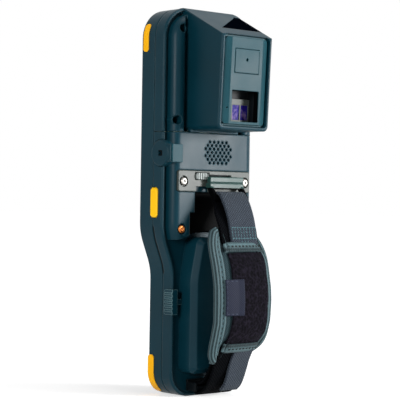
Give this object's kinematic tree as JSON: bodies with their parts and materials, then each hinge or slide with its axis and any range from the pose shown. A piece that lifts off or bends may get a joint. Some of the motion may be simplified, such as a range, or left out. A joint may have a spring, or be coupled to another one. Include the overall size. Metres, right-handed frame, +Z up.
{
  "type": "portable barcode data terminal",
  "caption": "Hand-held data terminal with a display and keys in front, a slanted scanner pod, battery and padded hand strap behind, side triggers and a capped port.",
  "frame": {"origin": "centre of the flat base on the ground plane, at the plane that splits the depth", "axes": "+Z up the body, +X to the left of someone who looks at the display, +Y out of the back"},
  "size_m": [0.0661, 0.0559, 0.2096],
  "materials": {
    "body_plastic": "fine moulded texture",
    "dark_plastic": "fine moulded texture",
    "plate_plastic": "fine moulded texture",
    "yellow_rubber": "satin",
    "trigger_yellow": "satin",
    "key_rubber": "matte",
    "strap_fabric": "woven webbing",
    "pad_fabric": "padded, bound edge",
    "window_glass": "polished",
    "imager_glass": "coated",
    "clear_glass": "polished",
    "seal_rubber": "matte",
    "steel": "turned",
    "brass": "turned",
    "board": "solder mask",
    "metal_case": "stamped",
    "lcd": "satin"
  },
  "bodies": {
    "housing": {"back_housing": "body_plastic", "battery_pack": "body_plastic", "bottom_insert_left": "yellow_rubber", "bottom_insert_right": "yellow_rubber", "casing_screws": "brass", "contact_block": "dark_plastic", "display_glass": "clear_glass", "edge_insert_left": "yellow_rubber", "edge_insert_right": "yellow_rubber", "front_housing": "body_plastic", "hand_pad": "pad_fabric", "housing_gasket": "seal_rubber", "imager_frame": "plate_plastic", "imager_panes": "imager_glass", "imager_tunnel": "dark_plastic", "keypad_board": "board", "lcd_module": "lcd", "main_board": "board", "plate_screws": "steel", "pod_face_plate": "body_plastic", "pod_screws": "steel", "port_socket": "metal_case", "port_tab": "dark_plastic", "scan_engine": "metal_case", "scan_window": "window_glass", "scanner_pod": "body_plastic", "service_cover": "body_plastic", "speaker": "dark_plastic", "strap_anchor": "dark_plastic", "strap_bracket": "dark_plastic", "strap_lower": "strap_fabric", "strap_plate": "plate_plastic", "strap_upper": "strap_fabric", "top_insert_left": "yellow_rubber", "top_insert_right": "yellow_rubber"},
    "key_r1_c1": {"key_r1_c1": "key_rubber"},
    "key_r1_c2": {"key_r1_c2": "key_rubber"},
    "key_r1_c3": {"key_r1_c3": "key_rubber"},
    "key_r2_c1": {"key_r2_c1": "key_rubber"},
    "key_r2_c2": {"key_r2_c2": "key_rubber"},
    "key_r2_c3": {"key_r2_c3": "key_rubber"},
    "key_r3_c1": {"key_r3_c1": "key_rubber"},
    "key_r3_c2": {"key_r3_c2": "key_rubber"},
    "key_r3_c3": {"key_r3_c3": "key_rubber"},
    "key_r4_c1": {"key_r4_c1": "key_rubber"},
    "key_r4_c2": {"key_r4_c2": "key_rubber"},
    "key_r4_c3": {"key_r4_c3": "key_rubber"},
    "key_r5_c1": {"key_r5_c1": "key_rubber"},
    "key_r5_c2": {"key_r5_c2": "key_rubber"},
    "key_r5_c3": {"key_r5_c3": "key_rubber"},
    "scan_key": {"scan_key": "trigger_yellow"},
    "soft_key_left": {"soft_key_left": "key_rubber"},
    "soft_key_right": {"soft_key_right": "key_rubber"},
    "trigger_left": {"trigger_left": "trigger_yellow"},
    "trigger_right": {"trigger_right": "trigger_yellow"},
    "latch_slider": {"latch_slider": "plate_plastic"},
    "port_cap": {"port_cap": "dark_plastic"},
    "battery_lock": {"battery_lock": "body_plastic"}
  },
  "joints": [
    {"name": "key_r1_c1_press", "type": "slide", "parent": "housing", "child": "key_r1_c1", "axis": [0, 1, 0], "range_m": [0, 0.0009], "stiffness_N_per_m": 400},
    {"name": "key_r1_c2_press", "type": "slide", "parent": "housing", "child": "key_r1_c2", "axis": [0, 1, 0], "range_m": [0, 0.0009], "stiffness_N_per_m": 400},
    {"name": "key_r1_c3_press", "type": "slide", "parent": "housing", "child": "key_r1_c3", "axis": [0, 1, 0], "range_m": [0, 0.0009], "stiffness_N_per_m": 400},
    {"name": "key_r2_c1_press", "type": "slide", "parent": "housing", "child": "key_r2_c1", "axis": [0, 1, 0], "range_m": [0, 0.0009], "stiffness_N_per_m": 400},
    {"name": "key_r2_c2_press", "type": "slide", "parent": "housing", "child": "key_r2_c2", "axis": [0, 1, 0], "range_m": [0, 0.0009], "stiffness_N_per_m": 400},
    {"name": "key_r2_c3_press", "type": "slide", "parent": "housing", "child": "key_r2_c3", "axis": [0, 1, 0], "range_m": [0, 0.0009], "stiffness_N_per_m": 400},
    {"name": "key_r3_c1_press", "type": "slide", "parent": "housing", "child": "key_r3_c1", "axis": [0, 1, 0], "range_m": [0, 0.0009], "stiffness_N_per_m": 400},
    {"name": "key_r3_c2_press", "type": "slide", "parent": "housing", "child": "key_r3_c2", "axis": [0, 1, 0], "range_m": [0, 0.0009], "stiffness_N_per_m": 400},
    {"name": "key_r3_c3_press", "type": "slide", "parent": "housing", "child": "key_r3_c3", "axis": [0, 1, 0], "range_m": [0, 0.0009], "stiffness_N_per_m": 400},
    {"name": "key_r4_c1_press", "type": "slide", "parent": "housing", "child": "key_r4_c1", "axis": [0, 1, 0], "range_m": [0, 0.0009], "stiffness_N_per_m": 400},
    {"name": "key_r4_c2_press", "type": "slide", "parent": "housing", "child": "key_r4_c2", "axis": [0, 1, 0], "range_m": [0, 0.0009], "stiffness_N_per_m": 400},
    {"name": "key_r4_c3_press", "type": "slide", "parent": "housing", "child": "key_r4_c3", "axis": [0, 1, 0], "range_m": [0, 0.0009], "stiffness_N_per_m": 400},
    {"name": "key_r5_c1_press", "type": "slide", "parent": "housing", "child": "key_r5_c1", "axis": [0, 1, 0], "range_m": [0, 0.0009], "stiffness_N_per_m": 400},
    {"name": "key_r5_c2_press", "type": "slide", "parent": "housing", "child": "key_r5_c2", "axis": [0, 1, 0], "range_m": [0, 0.0009], "stiffness_N_per_m": 400},
    {"name": "key_r5_c3_press", "type": "slide", "parent": "housing", "child": "key_r5_c3", "axis": [0, 1, 0], "range_m": [0, 0.0009], "stiffness_N_per_m": 400},
    {"name": "scan_key_press", "type": "slide", "parent": "housing", "child": "scan_key", "axis": [0, 1, 0], "range_m": [0, 0.0009], "stiffness_N_per_m": 400},
    {"name": "soft_key_left_press", "type": "slide", "parent": "housing", "child": "soft_key_left", "axis": [0, 1, 0], "range_m": [0, 0.0009], "stiffness_N_per_m": 400},
    {"name": "soft_key_right_press", "type": "slide", "parent": "housing", "child": "soft_key_right", "axis": [0, 1, 0], "range_m": [0, 0.0009], "stiffness_N_per_m": 400},
    {"name": "trigger_left_press", "type": "slide", "parent": "housing", "child": "trigger_left", "axis": [-1, 0, 0], "range_m": [0, 0.001], "stiffness_N_per_m": 600},
    {"name": "trigger_right_press", "type": "slide", "parent": "housing", "child": "trigger_right", "axis": [1, 0, 0], "range_m": [0, 0.001], "stiffness_N_per_m": 600},
    {"name": "latch_slide", "type": "slide", "parent": "housing", "child": "latch_slider", "axis": [-1, 0, 0], "range_m": [0, 0.0015], "stiffness_N_per_m": 300},
    {"name": "battery_lock_slide", "type": "slide", "parent": "housing", "child": "battery_lock", "axis": [0, 0, 1], "range_m": [0, 0.003]},
    {"name": "port_cap_hinge", "type": "hinge", "parent": "housing", "child": "port_cap", "pos_m": [0.0313, 0.0161, 0.1309], "axis": [0, 0, 1], "range_deg": [0, 105]}
  ]
}
